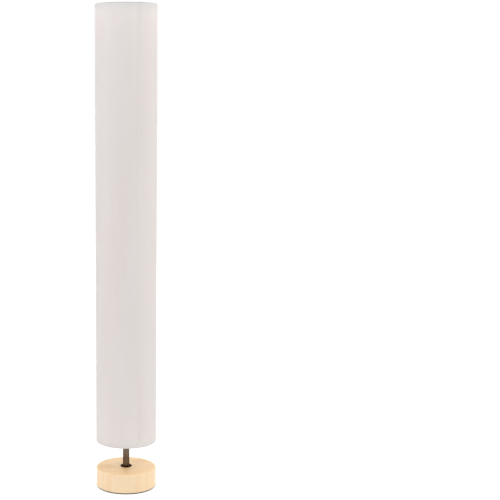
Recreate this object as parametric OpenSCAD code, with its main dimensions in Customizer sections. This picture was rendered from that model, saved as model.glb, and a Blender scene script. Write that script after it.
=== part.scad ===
// Column floor lamp: a tall cloth cylinder hung on a slim pole that stands in a round wooden base.
// The origin is on the floor under the middle of the base, +Z is up and -Y is the front.
// The shade hangs by its top hub, held down by a nut, and lifts off over the pole and the bulbs.

/* [Base] */
// Diameter of the wooden block
base_d = 149; // [140:1:200]
// Height of the wooden block
block_h = 47; // [44:1:70]
// Radius of the block's eased top edge
block_top_round = 3; // [1:0.5:6]
// Radius of the block's eased lower edge
block_foot_round = 1.5; // [0.5:0.5:3]
// Thickness of the felt pad
pad_t = 2; // [1:0.5:3]
// How far the pad stays back from the block's edge
pad_inset = 2; // [1:0.5:6]
// Diameter of the cast weight
weight_d = 112; // [90:1:116]
// Thickness of the cast weight
weight_t = 22; // [20:0.5:24]
// Gap between the weight's rim and the wood
weight_gap = 2; // [1:0.5:4]
// Diameter of the plate at the foot of the pipe
escutcheon_d = 28.3; // [24:0.1:40]
// Thickness of the plate at the foot of the pipe
escutcheon_t = 2; // [1.5:0.1:4]

/* [Cord inlet] */
// Diameter of the hole for the supply cord
inlet_d = 6.4; // [5:0.1:7]
// Diameter of the bushing's barrel
gland_d = 9.8; // [9:0.1:11]
// Diameter of the bushing's flange
flange_d = 15; // [13:0.5:18]
// Thickness of the bushing's flange
flange_t = 2; // [1.5:0.1:3]

/* [Pole] */
// Outer diameter of the pole
tube_d = 16; // [15:0.5:20]
// Wall thickness of the pole
tube_wall = 1; // [0.8:0.1:1.2]
// Free height of the pipe between the base and the shade
neck_gap = 67; // [50:1:120]
// Outer diameter of the hollow threaded nipples and rod
nipple_d = 10; // [9.5:0.1:10.5]
// Diameter of the wire way through the nipples
wireway_d = 7; // [6.8:0.1:7.4]
// Length of a pole nipple
nipple_len = 28; // [24:1:32]
// Length of a threaded bush in a tube's end
insert_len = 14; // [12:1:16]
// Thickness of the lampholder brackets
bracket_t = 2.5; // [2:0.1:4]
// Width of the lampholder brackets
bracket_w = 22; // [20:0.5:26]

/* [Spacer] */
// Thickness of the three-armed spacer
spacer_t = 2; // [1.5:0.1:3]
// Width of each arm
arm_w = 10; // [8:0.5:14]
// Diameter of the spacer's middle
spacer_hub_d = 28; // [24:0.5:36]
// Height of the spacer above the shade's lower edge
spacer_rise = 9; // [8:0.5:14]

/* [Shade] */
// Outer diameter of the shade
shade_d = 150; // [148:1:190]
// Height of the shade
shade_h = 1074; // [900:1:1300]
// Thickness of the cloth
fabric_t = 0.7; // [0.5:0.1:1.2]
// Thickness of the stiff film behind the cloth
liner_t = 0.5; // [0.3:0.1:1]
// Height of the cloth's turned edge inside the rim
turn_h = 7; // [6:0.5:8]
// Width of the overlap seam
seam_w = 9; // [6:0.5:20]
// How far the overlap stands out
seam_t = 0.4; // [0.2:0.1:0.6]
// Where the seam is, in degrees round from +X
seam_turn = -65; // [-180:1:180]
// Wire diameter of the rims and spokes
wire_d = 3.5; // [3:0.1:4]
// Depth of the hub below the upper rim
hub_drop = 24; // [23:0.5:40]
// Diameter of the hub washer
hub_d = 26; // [24:0.5:34]
// Thickness of the hub washer
hub_t = 3; // [2:0.1:4]
// Number of spokes and spacer arms
spokes = 3; // [3:1:3]

/* [Top stud and nut] */
// Diameter of the stud
stud_d = 8; // [6:0.1:9]
// Length of the stud above its shoulder
stud_len = 20; // [19:0.5:21]
// Diameter of the stud's shoulder
shoulder_d = 22; // [20:0.5:24]
// Thickness of the stud's shoulder
shoulder_t = 3; // [2:0.5:4]
// Diameter of the knurled nut
finial_d = 18; // [16:0.5:22]
// Height of the knurled nut
finial_h = 19.5; // [19:0.5:20]
// Number of grooves round the nut
flutes = 18; // [10:1:24]

/* [Lampholders and bulbs] */
// Distance from each end of the shade to the middle of the nearer bulb
light_inset = 269; // [200:1:320]
// Diameter of the bulb's globe
globe_d = 45; // [42:0.5:48]
// Gap between the globe and the pole
globe_gap = 3.5; // [2:0.5:8]
// Diameter of the bulb's screw cap
cap_d = 26.2; // [26:0.1:26.4]
// Length of the bulb's screw cap
cap_len = 24; // [22:0.5:25]
// Outer diameter of a lampholder
holder_d = 39; // [38:0.5:42]
// Height of a lampholder
holder_h = 56; // [54:0.5:60]
// Wall thickness of a lampholder
holder_wall = 2.5; // [2:0.1:3]
// Thickness of the brass screw shell
shell_t = 0.5; // [0.4:0.1:0.8]

/* [Internal wires] */
// Diameter of an internal wire
lead_d = 3; // [2.5:0.1:3.1]
// Diameter of a splice cap
splice_d = 6; // [5:0.5:6.5]
// Length of a splice cap
splice_len = 15; // [12:0.5:18]

/* [Hidden] */

$fn = 96;

// Clearances
slip = 0.05;      // between pieces of one body that fit into each other
running = 0.05;   // between the stud and the nut that turns on it
free = 0.35;      // between bodies that move past each other
bolt_slip = 0.15; // round a nipple in a plate's hole
flange_slip = 0.4; // round the gland's flange in its flat seat
over = 1;         // how far a cut runs past the face it starts from

// Colours, as the photo shows them
wood_pale = [0.95, 0.85, 0.72];
cloth_white = [0.90, 0.88, 0.86];
bronze_dark = [0.30, 0.25, 0.19];
felt_black = [0.10, 0.10, 0.11];
steel_zinc = [0.72, 0.73, 0.74];
iron_grey = [0.24, 0.25, 0.26];
brass_yellow = [0.78, 0.63, 0.32];
plastic_white = [0.93, 0.92, 0.89];
plastic_black = [0.08, 0.08, 0.09];
globe_white = [0.98, 0.97, 0.94];
film_clear = [0.93, 0.93, 0.92];

// Heights of the stack
block_z = pad_t;
base_top = block_z + block_h;
tube_foot = base_top + escutcheon_t;
shade_z = base_top + neck_gap;
shade_top = shade_z + shade_h;
spacer_z = shade_z + spacer_rise;
hub_z = shade_top - hub_drop;
shoulder_z = hub_z - shoulder_t;

// Weight and its fastening, in the recess of the block
weight_lift = 4;                               // free space under the weight
weight_round = 2;                              // rounding of its edge
weight_z = block_z + weight_lift;
recess_top = weight_z + weight_t;
nut_well = 14;                                 // depth of the well for nut and washers
nut_well_d = 30;
well_top = weight_z + nut_well;
washer_d = 28;
washer_t = 1.5;
lock_d = 18;
lock_t = 1.5;
lock_cut = 1.2;                                // width of the cut through the spring washer
lock_slant = 30;
nut_af = 14;                                   // nut across its flats
nut_t = 4;
rod_past = 1;                                  // the rod shows under its nut, and ends inside the bush
rod_z = well_top - washer_t - lock_t - nut_t - rod_past;
rod_top = tube_foot + insert_len - rod_past;
inlet_rise = 11;                               // middle of the cord's hole above the block's foot
inlet_z = block_z + inlet_rise;
slot_w = 17;                                   // way for the cord through the weight
flange_sink = 0.5;                             // how far the gland's flange is sunk in the wood
face_y = base_d / 2 - flange_t - flange_sink;  // flat seat of the gland's flange
gland_past = 0.5;                              // how far the gland shows in the recess
gland_in_y = weight_d / 2 + weight_gap - gland_past;
escutcheon_round = 1.2;

// Round sizes of the pole
tube_r = tube_d / 2;
bore_r = tube_r - tube_wall;
insert_r = bore_r - slip;
nipple_r = nipple_d / 2;
plate_hole_r = nipple_r + bolt_slip;

// Wires and rolled edges of the shade, as distances from the axis
shade_r = shade_d / 2;
cloth_in_r = shade_r - fabric_t;
liner_out_r = cloth_in_r - slip;
liner_in_r = liner_out_r - liner_t;
wire_r = wire_d / 2;
ring_r = liner_in_r - slip - wire_r;
turn_out_r = ring_r - wire_r - slip;           // outer face of the turned edge
turn_in_r = turn_out_r - fabric_t;             // inner face of the turned edge
turn_lap = 0.5;                                // the cloth's wall reaches this far into the edge's section
roll_r = 2;                                    // outer rounding of the rolled edge
ring_inset = fabric_t + slip + wire_r;         // wire's middle below the rim
tab_foot = 1;                                  // spacer's tabs end this far above the lower rim
tab_r = sqrt(pow(turn_in_r - free, 2) - pow(arm_w / 2, 2));

// Lampholders and bulbs, in heights above their bracket
globe_r = globe_d / 2;
holder_x = tube_r + globe_r + globe_gap;
bulb_sink = 1.5;                               // bulb's housing starts this far below the mouth
housing_z = holder_h - bulb_sink;
globe_join = 8;                                // housing ends this far below the globe's middle
housing_h = 23.5;
light_rise = housing_z + housing_h + globe_join;
cap_z = housing_z - cap_len;
tip_h = 2;
tip_r = 4;
contact_z = cap_z - tip_h;
contact_h = 2.5;
core_top = contact_z - contact_h;
core_t = 6;
core_gap = 2;                                  // free space under the core
cap_r = cap_d / 2;
shell_in_r = cap_r + free;
shell_out_r = shell_in_r + shell_t;
holder_r = holder_d / 2;
cavity_r = holder_r - holder_wall;
mouth_r = 15.4;
flare_top = core_top - core_t - core_gap;      // head of the flared dome
dome_h = flare_top / 3;
entry_r = 9;
entry_h = flare_top / 3;
nipple_short = 7;                              // lampholder's nipple ends this far below that head
nipple_up = flare_top - nipple_short;          // nipple above the bracket's top
nipple_down = 14;                              // and below it
holder_nut_t = 4;
lower_bracket_z = shade_z + light_inset - light_rise;
upper_bracket_z = shade_top - light_inset - light_rise;

// Ways of the internal wires
exit_drop = 44;                                // side hole below the bracket's top
exit_r = 4.1;
lead_r = lead_d / 2;
lead_gap = 0.3;                                // between the two wires in the pole
lead_apart = (lead_d + lead_gap) / 2;          // each wire's distance from the pole's middle
exit_slope = tan(30);
lead_straight = 9;                             // from a splice cap to the first corner
lead_turn_y = 12;                              // where a wire comes down beside the nut
lead_rise = 4.2;                               // lowest run of a wire above the block's foot
lead_past = 2;                                 // a wire ends this far above the lampholder's nipple
corner_cuts = [4, 4, 6, 5, 10];                // how far from each corner its bend starts
splice_y = 32;
splice_drop = 2;                               // splice caps below the middle of the cord's hole
splice_gap = 0.8;                              // between the two splice caps
splice_z = inlet_z - splice_drop;
splice_x = (splice_d + splice_gap) / 2;
lead_low_z = block_z + lead_rise;
lead_sides = 8;
bend_steps = 5;

// ---- Shapes that repeat ----

// A straight tube standing on z
module pipe(r_out, r_in, z, h) {
    translate([0, 0, z]) difference() {
        cylinder(r = r_out, h = h);
        translate([0, 0, -over]) cylinder(r = r_in, h = h + 2 * over);
    }
}

// A hexagon nut standing on z
module hex_nut(across, r_in, z, h) {
    translate([0, 0, z]) difference() {
        cylinder(r = across / 2 / cos(30), h = h, $fn = 6);
        translate([0, 0, -over]) cylinder(r = r_in, h = h + 2 * over);
    }
}

// A disc whose upper edge is rounded
module eased_disc(r, h, round_r) {
    rotate_extrude() {
        square([r - round_r, h]);
        square([r, h - round_r]);
        translate([r - round_r, h - round_r]) circle(r = round_r, $fn = 32);
    }
}

// A round wire between two points
module rod_between(a, b, r) {
    d = b - a;
    translate(a) rotate([0, acos(d[2] / norm(d)), atan2(d[1], d[0])])
        cylinder(r = r, h = norm(d), $fn = 32);
}

// One section of the pole, with a side hole for a wire where side_z is given
module pole_section(z_low, z_high, side_z = undef) {
    difference() {
        pipe(tube_r, bore_r, z_low, z_high - z_low);
        if (side_z != undef)
            translate([0, 0, side_z]) rotate([0, 90, 0]) cylinder(r = exit_r, h = tube_r + over, $fn = 48);
    }
}

// Places its children on the bracket whose upper face is at z, in the lampholder's middle
module on_bracket(z) {
    translate([holder_x, 0, z]) children();
}

// ---- Points of the internal wires ----

function unit(v) = v / norm(v);

// A bend at corner b of a route from a to c: a curve that starts and ends cut away from the corner
function bend(a, b, c, cut) = [for (k = [0 : bend_steps])
    let (t = k / bend_steps, p = b + unit(a - b) * cut, q = b + unit(c - b) * cut)
    (1 - t) * (1 - t) * p + 2 * t * (1 - t) * b + t * t * q];

// The whole route: its first point, a bend at each corner, its last point
function route(corners, cuts) = concat([corners[0]],
    [for (i = [1 : len(corners) - 2])
        each bend(corners[i - 1], corners[i], corners[i + 1], cuts[i - 1])],
    [corners[len(corners) - 1]]);

function heading(p, i) = unit(p[min(i + 1, len(p) - 1)] - p[max(i - 1, 0)]);

// A sideways direction carried along the route without twisting
function carried(p, i, last) = i == len(p) ? [] :
    let (t = heading(p, i), side = unit(last - (last * t) * t))
    concat([side], carried(p, i + 1, side));

// A round wire along a route
module swept_wire(p, r) {
    sides = carried(p, 0, [1, 0.01, 0.02]);
    rings = [for (i = [0 : len(p) - 1])
        let (u = sides[i], v = cross(heading(p, i), u))
        for (k = [0 : lead_sides - 1])
            p[i] + r * (cos(360 * k / lead_sides) * u + sin(360 * k / lead_sides) * v)];
    walls = [for (i = [0 : len(p) - 2], k = [0 : lead_sides - 1])
        let (a = i * lead_sides + k, b = i * lead_sides + (k + 1) % lead_sides)
        each [[a, a + lead_sides, b], [b, a + lead_sides, b + lead_sides]]];
    last = (len(p) - 1) * lead_sides;
    ends = [[for (k = [0 : lead_sides - 1]) k],
        [for (k = [lead_sides - 1 : -1 : 0]) last + k]];
    polyhedron(points = rings, faces = concat(walls, ends));
}

// Corners of the wire that climbs the pole on the given side and ends in the lampholder over bracket_z
function lead_corners(side, bracket_z) =
    let (hole_z = bracket_z - exit_drop, x = side * lead_apart)
    [[side * splice_x, splice_y, splice_z],
     [side * splice_x, splice_y - lead_straight, splice_z],
     [x, lead_turn_y, lead_low_z],
     [x, 0, lead_low_z],
     [x, 0, hole_z - (bore_r + tube_wall / 2 - x) * exit_slope],
     [holder_x, 0, hole_z + (holder_x - bore_r - tube_wall / 2) * exit_slope],
     [holder_x, 0, bracket_z + nipple_up + lead_past]];

module lead(side, bracket_z) {
    color(plastic_white) swept_wire(route(lead_corners(side, bracket_z), corner_cuts), lead_r);
}

// ---- Base ----

module felt_pad() {
    color(felt_black) cylinder(r = base_d / 2 - pad_inset, h = pad_t);
}

module base_block() {
    r = base_d / 2;
    color(wood_pale) difference() {
        translate([0, 0, block_z]) rotate_extrude($fn = 180) {
            translate([0, block_foot_round])
                square([r, block_h - block_foot_round - block_top_round]);
            square([r - block_foot_round, block_h - block_top_round]);
            square([r - block_top_round, block_h]);
            translate([r - block_foot_round, block_foot_round]) circle(r = block_foot_round, $fn = 32);
            translate([r - block_top_round, block_h - block_top_round])
                circle(r = block_top_round, $fn = 48);
        }
        translate([0, 0, block_z - over])
            cylinder(r = weight_d / 2 + weight_gap, h = recess_top - block_z + over);
        translate([0, 0, block_z]) cylinder(r = plate_hole_r, h = block_h + over);
        translate([0, 0, inlet_z]) rotate([-90, 0, 0]) {
            cylinder(r = gland_d / 2 + slip, h = r + over);
            translate([0, 0, face_y]) cylinder(r = flange_d / 2 + flange_slip, h = r - face_y + over);
        }
    }
}

module base_weight() {
    color(iron_grey) difference() {
        translate([0, 0, recess_top]) mirror([0, 0, 1])
            eased_disc(weight_d / 2, weight_t, weight_round);
        translate([0, 0, weight_z - over]) {
            cylinder(r = plate_hole_r, h = weight_t + 2 * over);
            cylinder(r = nut_well_d / 2, h = nut_well + over);
            translate([-slot_w / 2, 0, 0]) cube([slot_w, weight_d / 2 + over, nut_well + over]);
        }
    }
}

module base_rod() {
    color(steel_zinc) pipe(nipple_r, wireway_d / 2, rod_z, rod_top - rod_z);
}

module base_washer() {
    color(steel_zinc) pipe(washer_d / 2, plate_hole_r, well_top - washer_t, washer_t);
}

// A spring washer: a ring with a slanting cut
module lock_washer() {
    color(steel_zinc) difference() {
        pipe(lock_d / 2, plate_hole_r, well_top - washer_t - lock_t, lock_t);
        translate([0, -lock_d / 2, well_top - washer_t - lock_t / 2]) rotate([0, lock_slant, 0])
            cube([lock_cut, lock_d, 4 * lock_t], center = true);
    }
}

module base_nut() {
    color(brass_yellow)
        hex_nut(nut_af, nipple_r + slip, well_top - washer_t - lock_t - nut_t, nut_t);
}

module escutcheon() {
    color(bronze_dark) translate([0, 0, base_top]) difference() {
        eased_disc(escutcheon_d / 2, escutcheon_t, min(escutcheon_round, escutcheon_t / 2));
        translate([0, 0, -over]) cylinder(r = plate_hole_r, h = escutcheon_t + 2 * over);
    }
}

// A bushing with a rounded flange, pushed into the block from the back
module cord_gland() {
    color(plastic_black) translate([0, 0, inlet_z]) rotate([-90, 0, 0]) difference() {
        union() {
            translate([0, 0, gland_in_y]) cylinder(r = gland_d / 2, h = face_y - gland_in_y);
            translate([0, 0, face_y]) eased_disc(flange_d / 2, flange_t, flange_t / 2);
        }
        translate([0, 0, gland_in_y - over])
            cylinder(r = inlet_d / 2, h = face_y + flange_t - gland_in_y + 2 * over);
    }
}

// Two closed connectors side by side; each takes the end of one internal wire
module splice_caps() {
    color(plastic_white) for (side = [-1, 1])
        translate([side * splice_x, splice_y, splice_z]) rotate([-90, 0, 0]) {
            cylinder(r = splice_d / 2, h = splice_len - splice_d / 2);
            translate([0, 0, splice_len - splice_d / 2]) rotate_extrude()
                intersection() {
                    circle(r = splice_d / 2);
                    square(splice_d);
                }
        }
}

// ---- Pole ----

module neck_tube() {
    color(bronze_dark) pole_section(tube_foot, spacer_z);
}

module lower_tube() {
    color(bronze_dark)
        pole_section(spacer_z + spacer_t, lower_bracket_z - bracket_t, lower_bracket_z - exit_drop);
}

module middle_tube() {
    color(bronze_dark)
        pole_section(lower_bracket_z, upper_bracket_z - bracket_t, upper_bracket_z - exit_drop);
}

module upper_tube() {
    color(bronze_dark) pole_section(upper_bracket_z, shoulder_z);
}

// A threaded bush in each end of the tubes that takes a nipple or the rod
module tube_inserts() {
    feet = [tube_foot, spacer_z + spacer_t, lower_bracket_z, upper_bracket_z];
    heads = [spacer_z, lower_bracket_z - bracket_t, upper_bracket_z - bracket_t];
    color(steel_zinc) for (z = concat(feet, [for (h = heads) h - insert_len]))
        pipe(insert_r, nipple_r + slip, z, insert_len);
}

module pole_nipples() {
    middles = [spacer_z + spacer_t / 2, lower_bracket_z - bracket_t / 2, upper_bracket_z - bracket_t / 2];
    color(steel_zinc) for (z = middles)
        pipe(nipple_r, wireway_d / 2, z - nipple_len / 2, nipple_len);
}

// Stamped plate with three arms; a tab at each arm's end turns down inside the shade's lower edge
module lower_spacer() {
    color(steel_zinc) difference() {
        union() {
            translate([0, 0, spacer_z]) cylinder(r = spacer_hub_d / 2, h = spacer_t);
            for (k = [0 : spokes - 1]) rotate(k * 360 / spokes) {
                translate([0, -arm_w / 2, spacer_z]) cube([tab_r, arm_w, spacer_t]);
                translate([tab_r - spacer_t, -arm_w / 2, shade_z + tab_foot])
                    cube([spacer_t, arm_w, spacer_rise + spacer_t / 2 - tab_foot]);
            }
        }
        translate([0, 0, spacer_z - over]) cylinder(r = plate_hole_r, h = spacer_t + 2 * over);
    }
}

// Stamped plate between two pole sections, with a round end under the lampholder
module bracket(z) {
    color(steel_zinc) translate([0, 0, z - bracket_t]) linear_extrude(bracket_t) difference() {
        union() {
            circle(r = bracket_w / 2);
            translate([holder_x, 0]) circle(r = bracket_w / 2);
            translate([0, -bracket_w / 2]) square([holder_x, bracket_w]);
        }
        circle(r = plate_hole_r);
        translate([holder_x, 0]) circle(r = plate_hole_r);
    }
}

module lower_bracket() { bracket(lower_bracket_z); }
module upper_bracket() { bracket(upper_bracket_z); }

// Plug in the top of the pole, a shoulder for the hub and a stud for the nut
module top_stud() {
    color(steel_zinc) {
        translate([0, 0, shoulder_z - insert_len]) cylinder(r = insert_r, h = insert_len);
        translate([0, 0, shoulder_z]) cylinder(r = shoulder_d / 2, h = shoulder_t);
        translate([0, 0, hub_z]) cylinder(r = stud_d / 2, h = stud_len);
    }
}

// ---- Lampholders ----

module holder_nipples() {
    color(brass_yellow) for (z = [lower_bracket_z, upper_bracket_z]) on_bracket(z)
        pipe(nipple_r, wireway_d / 2, -nipple_down, nipple_down + nipple_up);
}

module holder_nuts() {
    color(steel_zinc) for (z = [lower_bracket_z, upper_bracket_z]) on_bracket(z)
        hex_nut(nut_af, nipple_r + slip, -bracket_t - holder_nut_t, holder_nut_t);
}

// Turned housing: a threaded foot, a flared dome, a straight barrel with a union ring, a lipped mouth
module holder(z) {
    lip_r = 2;            // rounding of the mouth's lip
    groove_z = holder_h - 22;
    groove_apart = 4;     // the union ring stands between two grooves
    groove_w = 0.8;
    groove_deep = 0.6;
    floor_z = nipple_up + 1.5;
    floor_r = nipple_r + 4;
    color(plastic_white) on_bracket(z) rotate_extrude() difference() {
        union() {
            square([entry_r, entry_h + over]);
            polygon([[0, entry_h], [entry_r, entry_h], [holder_r - dome_h / 3, flare_top - dome_h],
                [holder_r, flare_top], [0, flare_top]]);
            translate([0, flare_top]) square([holder_r, holder_h - flare_top - lip_r]);
            translate([0, holder_h - lip_r - over]) square([holder_r - lip_r, lip_r + over]);
            translate([holder_r - lip_r, holder_h - lip_r]) circle(r = lip_r, $fn = 32);
        }
        translate([0, -over]) square([nipple_r + slip, 2 * flare_top]);
        polygon([[0, floor_z], [floor_r, floor_z], [cavity_r, flare_top],
            [cavity_r, holder_h - holder_wall], [mouth_r, holder_h - holder_wall],
            [mouth_r, holder_h + over], [0, holder_h + over]]);
        for (y = [groove_z, groove_z + groove_apart])
            translate([holder_r - groove_deep, y]) square([groove_deep + over, groove_w]);
    }
}

module lower_holder() { holder(lower_bracket_z); }
module upper_holder() { holder(upper_bracket_z); }

// Insulating core: a disc across the housing with two wire holes and a low collar round the shell
module core(z) {
    collar_h = 3;
    wire_hole_r = 1.5;
    wire_hole_y = 10;
    color(plastic_white) on_bracket(z) difference() {
        union() {
            translate([0, 0, core_top - core_t]) cylinder(r = cavity_r - slip, h = core_t);
            pipe(cavity_r - slip, shell_out_r + slip, core_top, collar_h);
        }
        for (side = [-1, 1]) translate([0, side * wire_hole_y, core_top - core_t - over])
            cylinder(r = wire_hole_r, h = core_t + 2 * over, $fn = 24);
    }
}

module lower_core() { core(lower_bracket_z); }
module upper_core() { core(upper_bracket_z); }

module screw_shell(z) {
    color(brass_yellow) on_bracket(z)
        pipe(shell_out_r, shell_in_r, core_top, housing_z - 1 - core_top);
}

module lower_screw_shell() { screw_shell(lower_bracket_z); }
module upper_screw_shell() { screw_shell(upper_bracket_z); }

// Round button under the bulb's tip, on a strip along the core
module contact(z) {
    strip_len = 9;
    strip_t = 1;
    color(brass_yellow) on_bracket(z) translate([0, 0, core_top]) {
        cylinder(r = tip_r, h = contact_h);
        translate([-strip_len, -tip_r / 2, 0]) cube([strip_len, tip_r, strip_t]);
    }
}

module lower_contact() { contact(lower_bracket_z); }
module upper_contact() { contact(upper_bracket_z); }

// ---- Bulbs ----

// Screw cap with a solder tip under an insulating cone
module bulb_cap(z) {
    tip_top_r = 4.5;
    cone_r = 9;
    cone_h = 1;
    taper_h = 3;          // from the cone to the cap's bevel
    rim = 1;              // bevel at the foot of the screw
    rim_z = cap_z + cone_h + taper_h;
    color(steel_zinc) on_bracket(z) rotate_extrude()
        polygon([[0, contact_z], [tip_r, contact_z], [tip_top_r, cap_z], [cone_r, cap_z + cone_h],
            [cap_r - rim, rim_z], [cap_r, rim_z + rim], [cap_r, housing_z], [0, housing_z]]);
}

module lower_bulb_cap() { bulb_cap(lower_bracket_z); }
module upper_bulb_cap() { bulb_cap(upper_bracket_z); }

// Housing that flares from the cap to the globe in a smooth curve
module bulb_housing(z) {
    steps = 10;
    foot_edge = 0.4;      // the housing's foot stands out this far over the cap
    top_r = sqrt(globe_r * globe_r - globe_join * globe_join);
    foot_r = cap_r + foot_edge;
    color(plastic_white) on_bracket(z) rotate_extrude()
        polygon(concat([[0, housing_z]],
            [for (k = [0 : steps]) let (t = k / steps)
                [foot_r + (top_r - foot_r) * sin(90 * t), housing_z + housing_h * t]],
            [[0, housing_z + housing_h]]));
}

module lower_bulb_housing() { bulb_housing(lower_bracket_z); }
module upper_bulb_housing() { bulb_housing(upper_bracket_z); }

module bulb_globe(z) {
    color(globe_white) on_bracket(z) translate([0, 0, light_rise]) difference() {
        sphere(r = globe_r);
        translate([0, 0, -globe_join - globe_d]) cylinder(r = globe_d, h = globe_d);
    }
}

module lower_bulb_globe() { bulb_globe(lower_bracket_z); }
module upper_bulb_globe() { bulb_globe(upper_bracket_z); }

// ---- Internal wires ----

// Bushing with a lip on each side hole of the pole
module lead_grommets() {
    lip_w = 1.2;          // lip round the hole
    lip_t = 1;
    wall = 1;
    sleeve_in = 1;        // the sleeve ends this far inside the pole
    color(plastic_black) for (z = [lower_bracket_z - exit_drop, upper_bracket_z - exit_drop])
        translate([0, 0, z]) rotate([0, 90, 0]) difference() {
            union() {
                translate([0, 0, bore_r - sleeve_in])
                    cylinder(r = exit_r - slip, h = sleeve_in + tube_wall + lip_t / 2, $fn = 48);
                translate([0, 0, tube_r + slip]) cylinder(r = exit_r + lip_w, h = lip_t, $fn = 48);
            }
            translate([0, 0, bore_r - sleeve_in - over])
                cylinder(r = exit_r - wall, h = sleeve_in + tube_wall + lip_t + 3 * over, $fn = 48);
        }
}

module lower_lead() { lead(1, lower_bracket_z); }
module upper_lead() { lead(-1, upper_bracket_z); }

// ---- Shade ----

// Section of the cloth at one rim, with the rim at height 0 and the shade below it
module rolled_edge() {
    inner_round = roll_r - fabric_t;
    difference() {
        union() {
            translate([turn_in_r, -turn_h]) square([shade_r - turn_in_r, turn_h - roll_r]);
            translate([turn_in_r + roll_r, -turn_h]) square([shade_r - turn_in_r - 2 * roll_r, turn_h]);
            for (x = [turn_in_r + roll_r, shade_r - roll_r])
                translate([x, -roll_r]) circle(r = roll_r, $fn = 48);
        }
        translate([turn_out_r, -turn_h - over]) square([cloth_in_r - turn_out_r, turn_h + over - roll_r]);
        translate([turn_out_r + inner_round, -turn_h])
            square([cloth_in_r - turn_out_r - 2 * inner_round, turn_h - fabric_t]);
        for (x = [turn_out_r + inner_round, cloth_in_r - inner_round])
            translate([x, -roll_r]) circle(r = inner_round, $fn = 48);
    }
}

// The cloth: one wall, rolled over the wire at both rims, with the overlap seam down one side
module shade_fabric() {
    seam_deg = seam_w / shade_r * 180 / PI;
    color(cloth_white) union() {
        rotate_extrude($fn = 180) {
            translate([cloth_in_r, shade_z + turn_h - turn_lap])
                square([fabric_t, shade_h - 2 * (turn_h - turn_lap)]);
            translate([0, shade_top]) rolled_edge();
            translate([0, shade_z]) mirror([0, 1]) rolled_edge();
        }
        rotate(seam_turn - seam_deg / 2) rotate_extrude(angle = seam_deg, $fn = 180)
            translate([shade_r - fabric_t / 2, shade_z + roll_r])
                square([fabric_t / 2 + seam_t, shade_h - 2 * roll_r]);
    }
}

// The stiff film behind the cloth, from wire to wire
module shade_liner() {
    color(film_clear)
        pipe(liner_out_r, liner_in_r, shade_z + ring_inset, shade_h - 2 * ring_inset, $fn = 180);
}

module rim_wire(z) {
    translate([0, 0, z]) rotate_extrude($fn = 180) translate([ring_r, 0]) circle(r = wire_r, $fn = 32);
}

// Upper rim wire with three spokes that drop inside the rolled edge and run in to the hub
module top_frame() {
    ring_z = shade_top - ring_inset;
    spoke_z = hub_z + hub_t / 2;
    color(steel_zinc) difference() {
        union() {
            rim_wire(ring_z);
            for (k = [0 : spokes - 1]) rotate(k * 360 / spokes) {
                translate([ring_r, 0, spoke_z]) cylinder(r = wire_r, h = ring_z - spoke_z, $fn = 32);
                translate([ring_r, 0, spoke_z]) sphere(r = wire_r, $fn = 32);
                translate([0, 0, spoke_z]) rotate([0, 90, 0]) cylinder(r = wire_r, h = ring_r, $fn = 32);
            }
            translate([0, 0, hub_z]) cylinder(r = hub_d / 2, h = hub_t);
        }
        translate([0, 0, hub_z - over]) cylinder(r = stud_d / 2 + free, h = hub_t + 2 * over);
        translate([0, 0, hub_z + hub_t]) cylinder(r = finial_d / 2 + free, h = wire_d);
        translate([0, 0, hub_z - wire_d]) cylinder(r = shoulder_d / 2 + free, h = wire_d);
    }
}

module bottom_ring() {
    color(steel_zinc) rim_wire(shade_z + ring_inset);
}

// Knurled nut with a domed top and a blind hole
module finial() {
    r = finial_d / 2;
    dome_r = 3;           // rounding of its upper edge
    plain_h = 3;          // plain foot below the grooves
    stud_room = 1;        // free space over the stud
    flute_r = PI * finial_d / flutes / 4;
    color(bronze_dark) translate([0, 0, hub_z + hub_t]) difference() {
        eased_disc(r, finial_h, dome_r);
        for (k = [0 : flutes - 1]) rotate(k * 360 / flutes)
            translate([r + flute_r / 3, 0, plain_h]) cylinder(r = flute_r, h = finial_h, $fn = 24);
        translate([0, 0, -over])
            cylinder(r = stud_d / 2 + running, h = stud_len - hub_t + over + stud_room);
    }
}

felt_pad();
base_block();
base_weight();
base_rod();
base_washer();
lock_washer();
base_nut();
escutcheon();
cord_gland();
splice_caps();
neck_tube();
lower_tube();
middle_tube();
upper_tube();
tube_inserts();
pole_nipples();
lower_spacer();
lower_bracket();
upper_bracket();
holder_nipples();
holder_nuts();
lower_holder();
upper_holder();
lower_core();
upper_core();
lower_screw_shell();
upper_screw_shell();
lower_contact();
upper_contact();
lower_bulb_cap();
lower_bulb_housing();
lower_bulb_globe();
upper_bulb_cap();
upper_bulb_housing();
upper_bulb_globe();
lead_grommets();
lower_lead();
upper_lead();
top_stud();
shade_fabric();
shade_liner();
top_frame();
bottom_ring();
finial();
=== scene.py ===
"""Column floor lamp: the looks of its cloth shade, wooden base, pole, lampholders and bulbs.

Sizes are in metres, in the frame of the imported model. The lamp stands on the floor with +Z up,
-Y is its front and the supply cord's way in is at +Y.
"""

import math

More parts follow.
